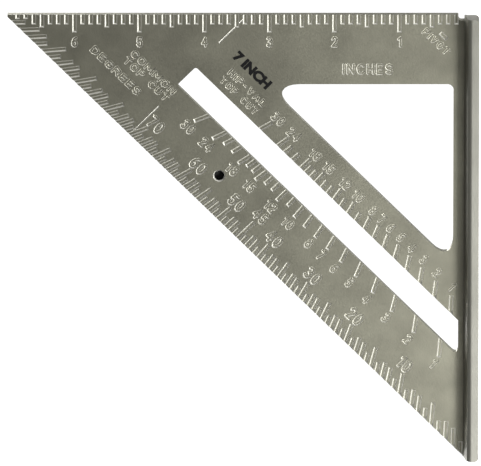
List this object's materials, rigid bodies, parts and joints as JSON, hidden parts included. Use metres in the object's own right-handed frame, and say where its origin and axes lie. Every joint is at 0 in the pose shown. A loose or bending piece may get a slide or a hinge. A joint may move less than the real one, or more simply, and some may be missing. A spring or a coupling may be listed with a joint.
{
  "type": "speed square",
  "caption": "Triangular rafter square with a fence along one leg, a triangular window, a marking slot and sunk inch, degree and rafter scales.",
  "frame": {"origin": "middle of the fence's outer face, on which the square stands; the centre of the bottom of its bounding box", "axes": "+Z from the fence along the scale edge to the sharp tip; +X along the fence to the pivot corner; the graduated face looks along -Y"},
  "size_m": [0.1794, 0.0202, 0.1843],
  "materials": {
    "blade_metal": "satin die-cast aluminium with sunk graduations",
    "fence_metal": "satin die-cast aluminium, smoother where it slides on wood"
  },
  "bodies": {
    "root": {"blade": "blade_metal", "fence": "fence_metal"}
  },
  "joints": []
}
